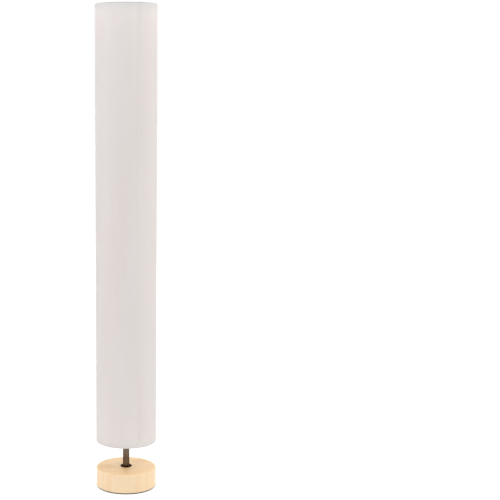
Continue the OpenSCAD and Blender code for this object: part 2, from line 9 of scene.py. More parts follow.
import bpy
import numpy as np
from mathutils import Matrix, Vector


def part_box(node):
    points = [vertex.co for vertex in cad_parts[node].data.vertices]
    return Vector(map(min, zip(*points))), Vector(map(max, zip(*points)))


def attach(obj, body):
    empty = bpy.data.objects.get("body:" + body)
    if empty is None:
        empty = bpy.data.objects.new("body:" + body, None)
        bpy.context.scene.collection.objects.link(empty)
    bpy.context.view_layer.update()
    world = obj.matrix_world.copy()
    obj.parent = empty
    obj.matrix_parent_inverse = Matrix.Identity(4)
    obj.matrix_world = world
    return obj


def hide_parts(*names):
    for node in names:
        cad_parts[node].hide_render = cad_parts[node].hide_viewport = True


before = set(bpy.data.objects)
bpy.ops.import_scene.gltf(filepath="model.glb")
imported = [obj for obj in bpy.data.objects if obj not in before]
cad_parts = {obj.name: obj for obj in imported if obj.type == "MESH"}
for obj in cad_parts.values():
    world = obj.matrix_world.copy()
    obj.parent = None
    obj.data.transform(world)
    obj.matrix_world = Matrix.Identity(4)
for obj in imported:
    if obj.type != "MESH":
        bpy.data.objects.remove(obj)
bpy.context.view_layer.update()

bl_info = {
    "name": "Column floor lamp",
    "version": (1, 0, 0),
    "blender": (4, 5, 0),
    "location": "3D View > Sidebar > Lamp",
    "description": "Dresses the column floor lamp in cloth, wood, metal and plastics",
    "category": "Object",
}

MM = 0.001
TURN = 2 * math.pi
WHITE = (1.0, 1.0, 1.0, 1.0)

# Levels and places that the frame gives; the film ends short of the cloth's rims
FILM_SHORT = 2.5 * MM
SHADE_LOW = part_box("shade_liner")[0].z - FILM_SHORT
SHADE_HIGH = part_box("shade_liner")[1].z + FILM_SHORT
BLOCK_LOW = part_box("base_block")[0].z
BRACKET_TOPS = {"lower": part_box("lower_bracket")[1].z, "upper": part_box("upper_bracket")[1].z}
HOLDER_X = (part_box("lower_holder")[0].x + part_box("lower_holder")[1].x) / 2
HUB_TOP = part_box("finial")[0].z

# The hollow rod and nipples, all with one thread
NIPPLE_RADIUS = 5 * MM
NIPPLE_BORE = 3.5 * MM
NIPPLE_PITCH = 1 * MM
NIPPLE_REACH = 14 * MM


def shown(red, green, blue):
    """A colour as a screen shows it, 0 to 255, turned into the linear colour of a finish."""
    parts = [part / 255 for part in (red, green, blue)]
    return tuple(p / 12.92 if p <= 0.04045 else ((p + 0.055) / 1.055) ** 2.4 for p in parts)


def rgba(colour):
    """Four numbers for a colour socket; a link goes through as it is."""
    return colour if isinstance(colour, Value) else (*colour, 1.0)


# ---- Finishes ----


class Value:
    """The output of a node; arithmetic on it adds Math nodes."""

    def __init__(self, finish, socket):
        self.finish = finish
        self.socket = socket

    def math(self, operation, *values):
        return self.finish.node(
            "ShaderNodeMath", {"operation": operation}, dict(enumerate(values))
        )

    def __add__(self, other):
        return self.math("ADD", self, other)

    def __sub__(self, other):
        return self.math("SUBTRACT", self, other)

    def __rsub__(self, other):
        return self.math("SUBTRACT", other, self)

    def __mul__(self, other):
        return self.math("MULTIPLY", self, other)

    def __truediv__(self, other):
        return self.math("DIVIDE", self, other)

    def __pow__(self, other):
        return self.math("POWER", self, other)

    def __abs__(self):
        return self.math("ABSOLUTE", self)

    __radd__ = __add__
    __rmul__ = __mul__

    def sine(self):
        return self.math("SINE", self)

    def fraction(self):
        return self.math("FRACT", self)

    def highest(self, other):
        return self.math("MAXIMUM", self, other)

    def swing(self, share):
        """A share of how far a pattern is above or below its middle."""
        return (self - 0.5) * share

    def step(self, low, high):
        """Rises smoothly from 0 at low to 1 at high."""
        return self.finish.node(
            "ShaderNodeMapRange",
            {"interpolation_type": "SMOOTHSTEP"},
            {"Value": self, "From Min": low, "From Max": high},
        )

    def other(self, name):
        """Another output of the same node."""
        return Value(self.finish, self.socket.node.outputs[name])


class Finish:
    """One procedural material, or the light of a world, built node by node."""

    def __init__(self, name, world=None):
        self.material = world or bpy.data.materials.new(name)
        self.material.use_nodes = True
        self.tree = self.material.node_tree
        self.tree.nodes.clear()
        self.axes = None

    def node(self, kind, settings=None, sockets=None, output=0):
        """Adds a node: its settings first, then the values or links of its sockets."""
        made = self.tree.nodes.new(kind)
        for name, setting in (settings or {}).items():
            setattr(made, name, setting)
        for name, value in (sockets or {}).items():
            if isinstance(value, Value):
                self.tree.links.new(value.socket, made.inputs[name])
            else:
                made.inputs[name].default_value = value
        return Value(self, made.outputs[output]) if made.outputs else None

    def place(self):
        """Where a point is on the lamp, as x, y and z in millimetres."""
        if self.axes is None:
            here = self.node("ShaderNodeTexCoord", output="Object")
            parts = self.node("ShaderNodeSeparateXYZ", sockets={"Vector": here})
            self.axes = [parts.other(name) / MM for name in "XYZ"]
        return self.axes

    def facing(self):
        """How far the surface faces up or down, from 0 to 1."""
        normal = self.node("ShaderNodeNewGeometry", output="Normal")
        return abs(self.node("ShaderNodeSeparateXYZ", sockets={"Vector": normal}, output="Z"))

    def vector(self, x, y, z):
        return self.node("ShaderNodeCombineXYZ", sockets={"X": x, "Y": y, "Z": z})

    def noise(self, x, y, z, detail=2.0, roughness=0.5):
        """A soft pattern that changes about once for each step of 1 in x, y or z."""
        return self.node(
            "ShaderNodeTexNoise",
            sockets={
                "Vector": self.vector(x, y, z),
                "Scale": 1.0,
                "Detail": detail,
                "Roughness": roughness,
            },
        )

    def grain(self, wide, long, **kind):
        """Noise whose grains are so many millimetres wide, and so long along z."""
        x, y, z = self.place()
        return self.noise(x / wide, y / wide, z / long, **kind)

    def rolled(self, sheet, wide, long, layer, **kind):
        """Noise on a rolled sheet, in millimetres too; each layer has a pattern of its own."""
        around, z = sheet
        return self.noise(around / wide, z / long, layer, **kind)

    def cells(self, size):
        """Distance to the nearest of many scattered points."""
        x, y, z = (axis / size for axis in self.place())
        return self.node(
            "ShaderNodeTexVoronoi", sockets={"Vector": self.vector(x, y, z), "Scale": 1.0}
        )

    def round_pole(self, radius, cut):
        """Way round an upright cylinder and height, in millimetres; the way's two ends meet at
        angle cut."""
        x, y, z = self.place()
        c, s = math.cos(cut + math.pi), math.sin(cut + math.pi)
        angle = self.node(
            "ShaderNodeMath", {"operation": "ARCTAN2"}, {0: y * c - x * s, 1: x * c + y * s}
        )
        return angle * radius, z

    def mix(self, factor, first, second, blend="MIX"):
        return self.node(
            "ShaderNodeMix",
            {"data_type": "RGBA", "blend_type": blend},
            {0: factor, 6: rgba(first), 7: rgba(second)},
            2,
        )

    def tinted(self, colour, tint):
        """A colour multiplied by another."""
        return self.mix(1.0, colour, tint, "MULTIPLY")

    def bump(self, height, depth):
        """A relief whose height of 1 stands depth metres proud."""
        return self.node("ShaderNodeBump", sockets={"Height": height, "Distance": depth})

    def surface(self, colour, roughness, normal, through=0.0, glow=(), **fixed):
        """Ends the finish in one shader. Fixed numbers go on its own sockets. A share of the
        light may go through, in the plain colour glow."""
        sockets = {"Base Color": rgba(colour), "Roughness": roughness, "Normal": normal}
        sockets.update({name.replace("_", " "): value for name, value in fixed.items()})
        shader = self.node("ShaderNodeBsdfPrincipled", sockets=sockets)
        if through:
            passed = self.node("ShaderNodeBsdfTranslucent", sockets={"Color": rgba(glow)})
            shader = self.node("ShaderNodeMixShader", sockets={0: through, 1: shader, 2: passed})
        self.node("ShaderNodeOutputMaterial", sockets={"Surface": shader})
        return self.material


FINISHES = {}


def finish(make):
    """The material that a maker function returns, made once."""
    if make.__name__ not in FINISHES:
        FINISHES[make.__name__] = make()
    return FINISHES[make.__name__]


def settings():
    return bpy.context.scene.floor_lamp


def shade_cloth():
    """Slubbed cloth: upright threads that swell and thin, crossed by fine level threads."""
    made, look = Finish("shade_cloth"), settings()
    wall, seam = look.shade_radius / MM, look.seam_width / MM
    low, high = SHADE_LOW / MM, SHADE_HIGH / MM
    sheet = made.round_pole(wall, look.seam_turn)
    around, z = sheet
    slub = made.rolled(sheet, wide=1.3, long=48, layer=0.0, detail=3.0, roughness=0.6)
    thread = made.rolled(sheet, wide=0.42, long=9, layer=5.0)
    band = made.rolled(sheet, wide=9, long=260, layer=9.0)
    cloud = made.rolled(sheet, wide=60, long=400, layer=13.0, detail=1.0)
    warmth = made.mix(cloud.step(0.3, 0.7), look.cloth_cool, look.cloth_warm)
    tone = 0.5 + slub.swing(1.1) + thread.swing(0.6) + band.swing(0.4)
    # The slubs, threads and bands vary the cloth's tone; where it is low the cloth is a darker copy,
    # painted shade as in the weave's hollows, and where it is high a lighter copy, painted light
    hollow = made.tinted(warmth, (0.965, 0.962, 0.955))
    raised = made.tinted(warmth, (1.01, 1.01, 1.01))
    colour = made.mix(tone.step(0.15, 0.85), hollow, raised)
    # The cloth is cooler and a little darker towards the top
    cooler_from, cooler_to, cool = high - 34, high - 5, (0.90, 0.915, 0.925)
    colour = made.mix(z.step(cooler_from, cooler_to) * 0.6, colour, cool)
    # Painted shade: the outside of the upper rim's roll is darkened as the rim edge in shade, and the
    # foot is darker in uneven patches
    x, y, _ = made.place()
    outward = ((x * x + y * y) ** 0.5).step(wall - 1.3, wall - 0.9)
    rim = z.step(high - 1.5, high - 0.8) * outward * 0.85
    foot = (1 - z.step(low + 0.3, low + 3.5)) * (0.16 + band * 0.2)
    colour = made.mix(rim.highest(foot), colour, shown(150, 144, 146))
    # Painted highlight: the lap isn't pressed down at its foot, and the light it would catch there is
    # painted in as a paler patch
    lap_side = abs(around) - (math.pi * wall - seam / 2)
    soft_edge, pressed_from, pressed_to = 3.5, low + 3, low + 18
    lap_foot_highlight = lap_side.step(-soft_edge, soft_edge) * (1 - z.step(pressed_from, pressed_to))
    colour = made.mix(lap_foot_highlight * 0.5, colour, (0.98, 0.97, 0.955))
    warp_gap, weft_gap = 0.82, 0.66
    warp = (around * (TURN / warp_gap) + slub * 5).sine()
    weft = (z * (TURN / weft_gap) + thread * 2).sine()
    relief = warp * weft * 0.22 + warp * 0.2 + slub * 1.4 + thread * 0.5
    return made.surface(
        colour,
        0.86 + slub.swing(0.2),
        made.bump(relief, 0.07 * MM),
        # Less light goes through the cloth under the painted highlight at the lap's foot
        through=0.35 - lap_foot_highlight * 0.22,
        glow=look.cloth_warm,
        Sheen_Weight=0.35,
        Sheen_Roughness=0.45,
        Specular_IOR_Level=0.25,
    )


def shade_film():
    """Stiff clear film that the cloth is bonded to: satin, with faint upright rolling lines."""
    made, look = Finish("shade_film"), settings()
    film_radius = 74
    sheet = made.round_pole(film_radius, look.seam_turn)
    line = made.rolled(sheet, wide=3, long=900, layer=2.0)
    weave = made.rolled(sheet, wide=0.9, long=30, layer=4.0)
    mark = made.rolled(sheet, wide=30, long=30, layer=6.0, detail=3.0)
    tone = line * 0.5 + weave * 0.35 + mark * 0.15
    colour = made.mix(tone.step(0.3, 0.7), (0.94, 0.935, 0.92), (0.985, 0.985, 0.98))
    return made.surface(
        colour,
        0.32 + mark * 0.16,
        made.bump(line + weave * 0.3, 0.05 * MM),
        through=0.9,
        glow=(0.97, 0.968, 0.96),
        Coat_Weight=0.15,
    )


def wood():
    """Pale softwood whose grain stands upright: growth rings on top, straight grain round it."""
    made, look = Finish("wood"), settings()
    x, y, z = made.place()
    sway = made.grain(wide=40, long=160)
    from_x, from_y = x - look.pith_x / MM, y - look.pith_y / MM
    out = (from_x * from_x + from_y * from_y) ** 0.5 + sway * 9
    growth = made.noise(out / 22, 3.0, 1.0, detail=1.0) * 2.5
    ring = (out / (look.ring_width / MM) + growth).fraction()
    late_from, late_full = 0.35, 0.93
    late = ring.step(late_from, late_full) * (1 - ring.step(late_full, 1.0))
    fibre = made.grain(wide=0.5, long=45, detail=3.0, roughness=0.6)
    ray = made.grain(wide=3, long=120)
    pores = made.grain(wide=0.28, long=6, detail=1.0)
    end = made.facing().step(0.55, 0.9)
    early = made.mix(end, look.wood_side, look.wood_end)
    dark = made.mix(end, look.wood_side_late, look.wood_end_late)
    colour = made.mix(late * (0.45 + ray * 0.6), early, dark)
    tone = 1 - fibre.swing(0.08) - ray.swing(0.08) - pores.step(0.62, 0.8) * end * 0.05
    colour = made.tinted(colour, made.vector(tone, tone, tone))

    def oval(middle, reach):
        """1 in the middle of a place on the top, easing to 0 at its edge."""
        across = (x - middle[0]) / reach[0]
        along = (y - middle[1] + sway * 12) / reach[1]
        return (across**2 + along**2).step(1.0, 0.1)

    # Two resin-dark places on the top
    resin = oval(middle=(-54, 0), reach=(30, 26)).highest(oval(middle=(36, 46), reach=(26, 20)))
    colour = made.mix(resin * (0.35 + ray * 0.3) * end, colour, look.wood_end_dark)
    # Painted shadow: the very edge of the foot, next to the pad, is darkened as a shadow line
    foot = BLOCK_LOW / MM
    painted_foot_shadow = 1 - z.step(foot + 0.3, foot + 1.6)
    colour = made.mix(painted_foot_shadow * 0.9, colour, shown(62, 46, 32))
    relief = late * 0.8 + fibre * 0.9 + pores * end * 0.4
    return made.surface(
        colour,
        0.46 + fibre.swing(0.2) + late * 0.06,
        made.bump(relief, 0.05 * MM),
        Coat_Weight=0.35,
        Coat_Roughness=0.55,
        Specular_IOR_Level=0.35,
    )


def metal(name, dark, light, rough, streak, pit, spread, metallic=1.0, **fixed):
    """A plated or painted metal: clouds of tone, fine level lines, and small pits."""
    made = Finish(name)
    cloud = made.grain(wide=spread, long=spread, detail=3.0)
    lines = made.grain(wide=9, long=0.12)
    grit = made.grain(wide=0.35, long=0.35)
    cloud_share, contrast = 0.6, 0.16
    tone = cloud * cloud_share + lines * streak + grit * pit
    middle = (cloud_share + streak + pit) / 2
    colour = made.mix(tone.step(middle - contrast, middle + contrast), dark, light)
    return made.surface(
        colour,
        rough + cloud.swing(0.12) + lines.swing(0.1) * streak,
        made.bump(lines * streak + grit * pit * 2, 0.02 * MM),
        Metallic=metallic,
        **fixed,
    )


def bronze_paint():
    look = settings()
    return metal(
        "bronze_paint",
        look.bronze_dark,
        look.bronze_light,
        rough=0.36,
        streak=0.35,
        pit=0.3,
        spread=26.0,
        Specular_Tint=(0.1, 0.09, 0.08, 1.0),
    )


def plate_bronze_painted_shade():
    """The plate at the pipe's foot, darker than the pipe: a copy of the pole's bronze with painted
    shade and a painted dark reflection of the shade's underside above it.
    """
    return metal(
        "plate_bronze_painted_shade",
        shown(40, 24, 6),
        shown(58, 40, 16),
        rough=0.5,
        streak=0.35,
        pit=0.3,
        spread=9.0,
        metallic=0.5,
        Specular_Tint=(0.2, 0.13, 0.08, 1.0),
        Specular_IOR_Level=0.15,
    )


def zinc_steel():
    dark, light = (0.42, 0.43, 0.45), (0.66, 0.66, 0.65)
    return metal("zinc_steel", dark, light, rough=0.3, streak=0.3, pit=0.5, spread=5.0)


def brass():
    dark, light = (0.56, 0.40, 0.14), (0.80, 0.62, 0.28)
    return metal("brass", dark, light, rough=0.26, streak=0.4, pit=0.3, spread=7.0)


def cap_nickel():
    dark, light = (0.50, 0.49, 0.46), (0.70, 0.69, 0.66)
    return metal("cap_nickel", dark, light, rough=0.24, streak=0.2, pit=0.3, spread=6.0)


def cast_iron():
    """A rough casting under dark paint, paler on its high spots."""
    made = Finish("cast_iron")
    lump = made.grain(wide=3.5, long=3.5, detail=4.0, roughness=0.65)
    pit = made.cells(0.8)
    colour = made.mix(lump.step(0.4, 0.68), (0.018, 0.02, 0.022), (0.075, 0.074, 0.072))
    relief = made.bump(lump * 2 + pit * 0.5, 0.22 * MM)
    return made.surface(colour, 0.55 + lump * 0.25, relief, Metallic=0.4)


def felt():
    """Pressed felt: matted fibres of several dark tones."""
    made = Finish("felt")
    x, y, z = made.place()
    hair_wide, hair_long = 0.25, 1.4
    matt = made.grain(wide=1.6, long=1.6, detail=4.0, roughness=0.7)
    hair = made.noise(x / hair_wide, y / hair_long, z / hair_wide)
    tone = (matt * 0.6 + hair * 0.4).step(0.35, 0.65)
    colour = made.mix(tone, (0.012, 0.010, 0.009), (0.05, 0.043, 0.038))
    relief = made.bump(matt + hair, 0.2 * MM)
    return made.surface(colour, 0.95, relief, Sheen_Weight=0.04, Specular_IOR_Level=0.1)


def moulded(name, dark, light, rough, relief, **fixed):
    """A moulded plastic or a powder coat: faint flow of tone and a fine even skin."""
    made = Finish(name)
    flow = made.grain(wide=18, long=30, detail=3.0)
    skin = made.grain(wide=0.5, long=0.5)
    dust = made.grain(wide=4, long=9, detail=3.0, roughness=0.6)
    colour = made.mix((flow * 0.7 + dust * 0.3).step(0.36, 0.64), dark, light)
    normal = made.bump(skin + flow * 0.4, relief)
    return made.surface(colour, rough + dust.swing(0.14), normal, **fixed)


def rim_wire():
    dark, light = (0.74, 0.73, 0.70), (0.82, 0.81, 0.79)
    return moulded("rim_wire", dark, light, rough=0.42, relief=0.06 * MM)


def black_plastic():
    dark, light = (0.012, 0.012, 0.013), (0.03, 0.03, 0.032)
    return moulded("black_plastic", dark, light, rough=0.5, relief=0.04 * MM)


def white_plastic():
    dark, light = (0.70, 0.69, 0.65), (0.75, 0.74, 0.71)
    return moulded("white_plastic", dark, light, rough=0.32, relief=0.02 * MM, Coat_Weight=0.2)


def bulb_glass():
    dark, light = (0.79, 0.782, 0.755), (0.825, 0.82, 0.80)
    return moulded("bulb_glass", dark, light, rough=0.28, relief=0.015 * MM, Coat_Weight=0.3)


def wire_cover():
    dark, light = (0.72, 0.70, 0.66), (0.83, 0.82, 0.79)
    return moulded("wire_cover", dark, light, rough=0.48, relief=0.03 * MM)


def cap_glass():
    """The dark glass that insulates a bulb's contact."""
    dark, light = (0.01, 0.01, 0.012), (0.035, 0.03, 0.03)
    return moulded("cap_glass", dark, light, rough=0.15, relief=0.01 * MM)


def solder():
    """The bead on the foot of a bulb's cap."""
    dark, light = (0.42, 0.42, 0.41), (0.58, 0.58, 0.57)
    return moulded("solder", dark, light, rough=0.38, relief=0.12 * MM, Metallic=0.9)


# ---- Shapes ----


class Shape:
    """Points and faces of one piece, gathered before its mesh is made."""

    def __init__(self):
        self.points = []
        self.faces = []
        self.parts = []

    def add(self, points, faces, part=0):
        start = len(self.points)
        self.points.extend(points)
        self.faces.extend([tuple(start + i for i in face) for face in faces])
        self.parts.extend([part] * len(faces))

    def turned(self, rows, sides, centre=(0.0, 0.0), closed=False, part=0):
        """Turns rows of (radius, z) round an upright axis. A radius may be a function of the
        angle, and a radius of 0 ends the shape in a point. A closed one joins last to first."""
        points, rings = [], []
        for radius, z in rows:
            if radius == 0:
                rings.append([len(points)])
                points.append((centre[0], centre[1], z))
                continue
            rings.append(list(range(len(points), len(points) + sides)))
            for k in range(sides):
                angle = TURN * k / sides
                r = radius(angle) if callable(radius) else radius
                points.append((centre[0] + r * math.cos(angle), centre[1] + r * math.sin(angle), z))
        faces = []
        pairs = list(zip(rings, rings[1:]))
        if closed:
            pairs.append((rings[-1], rings[0]))
        for a, b in pairs:
            for k in range(sides):
                n = (k + 1) % sides
                if len(a) == 1 and len(b) > 1:
                    faces.append((a[0], b[n], b[k]))
                elif len(b) == 1 and len(a) > 1:
                    faces.append((a[k], a[n], b[0]))
                elif len(a) > 1:
                    faces.append((a[k], a[n], b[n], b[k]))
        self.add(points, faces, part)

    def tube(self, path, radius, sides):
        """A round wire along a path, with flat ends."""
        path = [Vector(p) for p in path]
        # Any direction that no stretch of the path follows
        side = Vector((1.0, 0.01, 0.02))
        points, faces = [], []
        for i, here in enumerate(path):
            ahead = (path[min(i + 1, len(path) - 1)] - path[max(i - 1, 0)]).normalized()
            side = (side - ahead * side.dot(ahead)).normalized()
            across = ahead.cross(side)
            for k in range(sides):
                angle = TURN * k / sides
                points.append(here + radius * (math.cos(angle) * side + math.sin(angle) * across))
        for i in range(len(path) - 1):
            for k in range(sides):
                a, b = i * sides + k, i * sides + (k + 1) % sides
                faces.append((a, b, b + sides, a + sides))
        last = (len(path) - 1) * sides
        faces.append(tuple(range(sides - 1, -1, -1)))
        faces.append(tuple(range(last, last + sides)))
        self.add(points, faces)

    def piece(self, name, body, slot, looks, replaces, sharp=38.0):
        """Makes the mesh, smooth but for edges sharper than so many degrees, and lets it ride
        on a body."""
        mesh = bpy.data.meshes.new(name)
        mesh.from_pydata([tuple(p) for p in self.points], [], self.faces)
        mesh.update()
        for look in looks:
            mesh.materials.append(look)
        mesh.polygons.foreach_set("material_index", self.parts)
        mesh.polygons.foreach_set("use_smooth", [True] * len(self.faces))
        mesh.set_sharp_from_angle(angle=math.radians(sharp))
        made = bpy.data.objects.new(name, mesh)
        bpy.context.scene.collection.objects.link(made)
        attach(made, body)
        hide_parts(*replaces)
        return made


def arc(centre, radius, start, end, steps):
    """Points (r, z) of an arc round a centre, with the angles in degrees."""
    return [
        (
            centre[0] + radius * math.cos(math.radians(start + (end - start) * k / steps)),
            centre[1] + radius * math.sin(math.radians(start + (end - start) * k / steps)),
        )
        for k in range(steps + 1)
    ]


def thread_rows(low, high, crest, depth, pitch, steps=6, round_crest=False):
    """Rows of a screw thread between two levels, tapered off at both ends."""
    flank, run_out = 2.5, 0.9
    rows = []
    count = round((high - low) / pitch * steps)
    for j in range(count + 1):
        z = low + (high - low) * j / count
        lead = min(1.0, (z - low) / pitch, (high - z) / pitch)

        def radius(angle, z=z, lead=lead):
            phase = ((z - low) / pitch - angle / TURN) % 1.0
            if round_crest:
                sunk = 0.5 - 0.5 * math.cos(TURN * phase)
            else:
                sunk = min(1.0, max(0.0, flank / 2 - flank * abs(phase - 0.5)))
            return crest - depth * (sunk * lead + (1 - lead) * run_out)

        rows.append((radius, z))
    return rows


def hollow_screw(shape, x, low, high):
    """A hollow threaded rod at x with bevelled ends, as the base's rod and all nipples are."""
    sides, bevel, plain = 40, 0.1 * MM, 0.4 * MM
    depth = 0.54 * NIPPLE_PITCH
    end = NIPPLE_RADIUS - depth - bevel
    rows = [(NIPPLE_BORE, low), (end, low)]
    rows += thread_rows(low + plain, high - plain, NIPPLE_RADIUS, depth, NIPPLE_PITCH)
    rows += [(end, high), (NIPPLE_BORE, high)]
    shape.turned(rows, sides, (x, 0.0), closed=True)


def carry(material, *nodes):
    """Gives carried-over nodes a finish."""
    for name in nodes:
        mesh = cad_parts[name].data
        mesh.materials.clear()
        mesh.materials.append(material)


# ---- Shade ----


def cloth_section(look):
    """The cloth's middle line from free edge to free edge, as (radius, z, outward r, outward z)."""
    half = look.cloth_thickness / 2
    wall = look.shade_radius - half
    corner = look.roll_radius - half
    # The turned-in edge stands just clear of the rim wire's inner side
    rim_wire_width, clear = 3.5 * MM, 0.05 * MM
    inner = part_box("top_frame")[1].x - rim_wire_width - clear - half
    turn_rows, arc_rows = 6, 8
    line = []
    for level, way in ((SHADE_LOW, 1), (SHADE_HIGH, -1)):
        edge = []
        rim = level + way * half
        for k in range(turn_rows + 1):
            down = (look.turn_height - corner) * k / turn_rows
            edge.append((inner, rim + way * (look.turn_height - down), -1, 0))
        for middle, start, left_out in ((inner + corner, 180, 1), (wall - corner, 270, 0)):
            for r, z in arc((middle, 0), corner, start, start + 90, arc_rows)[left_out:]:
                edge.append((r, rim + way * (corner + z), (r - middle) / corner, way * z / corner))
        line.append(edge)
    foot, head = line[0], line[1][::-1]
    low, high = foot[-1][1], head[0][1]
    count = look.wall_rows
    wall_rows = [(wall, low + (high - low) * k / count, 1, 0) for k in range(1, count)]
    return foot + wall_rows + head


def make_cloth(look):
    """The shade's cloth, one strip rolled into a cylinder whose last edge laps over its first."""
    section = np.array(cloth_section(look))
    columns, rows = look.columns, len(section)
    lap = look.seam_width / look.shade_radius
    angles = np.linspace(0.0, TURN + lap, columns) + look.seam_turn - lap / 2
    seed, knot_rows, slub_limit = 11, 34, 0.09 * MM
    knots = np.random.default_rng(seed).normal(0.0, 1.0, (columns, knot_rows))
    for _ in range(2):
        knots = (np.roll(knots, 1, 0) + 2 * knots + np.roll(knots, -1, 0)) / 4
    at = np.linspace(0, knot_rows - 1, rows)
    slub = np.array([np.interp(at, np.arange(knot_rows), row) for row in knots])
    relief = np.clip(slub * look.slub_height, -slub_limit, slub_limit)
    # Under the lap the cloth is pressed thinner, and the lap stands a hair off it; both
    # shares run from 0 to 1 over the ease
    sunk, raised, gap, ease = 0.17 * MM, 0.4 * MM, 0.05 * MM, 1.5 * MM
    run = (angles - angles[0]) * look.shade_radius
    under = np.clip((look.seam_width + ease - run) / ease, 0, 1)
    over = np.clip((run - run[-1] + look.seam_width + ease) / ease, 0, 1)
    half = look.cloth_thickness / 2
    outer = half - sunk * under + raised * over
    inner = -half + (look.cloth_thickness - sunk + gap) * over
    sides = []
    for offset, bumps in ((outer, relief), (inner, 0.0)):
        shift = offset[:, None] + bumps
        r = section[None, :, 0] + shift * section[None, :, 2]
        z = section[None, :, 1] + shift * section[None, :, 3]
        x, y = r * np.cos(angles)[:, None], r * np.sin(angles)[:, None]
        sides.append(np.stack([x, y, z], -1).reshape(-1, 3))
    points = np.concatenate(sides)
    # Faces of the outside, the inside, the strip's two ends and its two free edges
    total = columns * rows
    i, j = np.meshgrid(np.arange(columns - 1), np.arange(rows - 1), indexing="ij")
    a = (i * rows + j).ravel()
    front = np.stack([a, a + rows, a + rows + 1, a + 1], -1)
    back = front[:, ::-1] + total
    j = np.arange(rows - 1)
    start = np.stack([j, j + 1, total + j + 1, total + j], -1)
    end = start[:, ::-1] + (columns - 1) * rows
    i = np.arange(columns - 1) * rows
    foot = np.stack([i, total + i, total + i + rows, i + rows], -1)
    head = foot[:, ::-1] + rows - 1
    shape = Shape()
    shape.points = points.tolist()
    shape.faces = np.concatenate([front, back, start, end, foot, head]).tolist()
    shape.parts = [0] * len(shape.faces)
    cloth = shape.piece(
        "shade_cloth_sheet", "shade", "shade_cloth", [finish(shade_cloth)], ["shade_fabric"], 50.0
    )


# ---- Settings ----


def length(name, about, default, low, high):
    return bpy.props.FloatProperty(
        name=name, description=about, default=default, min=low, max=high, unit="LENGTH", precision=4
    )


def colour(name, about, default):
    return bpy.props.FloatVectorProperty(
        name=name, description=about, default=default, size=3, min=0.0, max=1.0, subtype="COLOR"
    )


class FloorLampSettings(bpy.types.PropertyGroup):
    """Sizes and colours of the lamp's looks."""

    shade_radius: length("Shade radius", "Outer radius of the cloth", 75 * MM, 0.05, 0.12)
    cloth_thickness: length("Cloth", "Thickness of the cloth", 0.7 * MM, 0.0003, 0.0015)
    turn_height: length("Turned edge", "Height of the cloth turned in at each rim", 7 * MM, 0.004, 0.01)
    roll_radius: length("Rim", "Outer rounding of the rolled rims", 2 * MM, 0.001, 0.003)
    seam_width: length("Seam", "Width of the overlap seam", 9 * MM, 0.004, 0.02)
    seam_turn: bpy.props.FloatProperty(
        name="Seam's place",
        description="Angle of the seam round from +X",
        default=math.radians(-65),
        subtype="ANGLE",
    )
    slub_height: length("Slubs", "How far thick threads stand out", 0.04 * MM, 0.0, 0.0002)
    columns: bpy.props.IntProperty(
        name="Columns",
        description="Upright strips that the cloth is made of",
        default=480,
        min=90,
        max=720,
    )
    wall_rows: bpy.props.IntProperty(
        name="Rows", description="Level strips of the shade's wall", default=56, min=8, max=90
    )
    cloth_cool: colour("Cloth, cool", "Colour of the cooler patches", shown(252, 248, 247))
    cloth_warm: colour("Cloth, warm", "Colour of the warmer patches", shown(251, 246, 243))
    wood_side: colour("Wood, side", "Early wood round the side", shown(253, 226, 187))
    wood_side_late: colour("Wood, side grain", "Late wood round the side", shown(250, 217, 176))
    wood_end: colour("Wood, top", "Early wood on the top", shown(255, 221, 171))
    wood_end_late: colour("Wood, rings", "Late wood on the top", shown(250, 200, 134))
    wood_end_dark: colour("Wood, resin", "Resin-dark places on the top", shown(238, 186, 120))
    ring_width: length("Growth rings", "Width of a growth ring", 10 * MM, 0.002, 0.02)
    pith_x: length("Tree's middle, X", "Where the growth rings' middle is", 8 * MM, -0.3, 0.3)
    pith_y: length("Tree's middle, Y", "Where the growth rings' middle is", 90 * MM, -0.3, 0.3)
    bronze_dark: colour("Bronze, dark", "Darker tone of the pole", shown(88, 72, 57))
    bronze_light: colour("Bronze, light", "Lighter tone of the pole", shown(118, 102, 84))
    camera_distance: length("Camera distance", "From the lamp's axis", 2.8, 1.0, 12.0)
    camera_height: length("Camera height", "Above the floor", 0.97, 0.0, 3.0)
    aim_height: length("Aim height", "Level on the axis that the camera looks at", 0.5976, 0.0, 2.0)
    lens: bpy.props.FloatProperty(
        name="Lens", description="Focal length, in millimetres", default=82.75, min=20.0, max=300.0
    )
    side_shift: bpy.props.FloatProperty(
        name="Shift",
        description="How far the lamp stands left of the picture's middle, in picture widths",
        default=0.2477,
    )
    sky: bpy.props.FloatProperty(
        name="Sky",
        description="Strength of the soft light from all round",
        default=0.84,
        min=0.0,
        max=3.0,
    )
    lamp_power: bpy.props.FloatProperty(
        name="Studio lamps",
        description="Power of the soft lamps",
        default=41.0,
        min=0.0,
        unit="POWER",
    )


# ---- Operators ----


class LAMP_OT_shade_cloth(bpy.types.Operator):
    """Make the shade's cloth with its rolled edges and seam"""

    bl_idname = "floor_lamp.shade_cloth"
    bl_label = "Shade cloth"

    def execute(self, context):
        make_cloth(context.scene.floor_lamp)
        return {"FINISHED"}


class LAMP_OT_shade_frame(bpy.types.Operator):
    """Finish the film, the rim wires and the spokes"""

    bl_idname = "floor_lamp.shade_frame"
    bl_label = "Shade film and wires"

    def execute(self, context):
        carry(finish(shade_film), "shade_liner")
        carry(finish(rim_wire), "top_frame", "bottom_ring")
        return {"FINISHED"}


class LAMP_OT_base(bpy.types.Operator):
    """Finish the wooden block, its weight, pad, plate and cord bushing"""

    bl_idname = "floor_lamp.base"
    bl_label = "Base"

    def execute(self, context):
        carry(finish(wood), "base_block")
        carry(finish(cast_iron), "base_weight")
        carry(finish(felt), "felt_pad")
        carry(finish(plate_bronze_painted_shade), "escutcheon")
        carry(finish(black_plastic), "cord_gland")
        return {"FINISHED"}


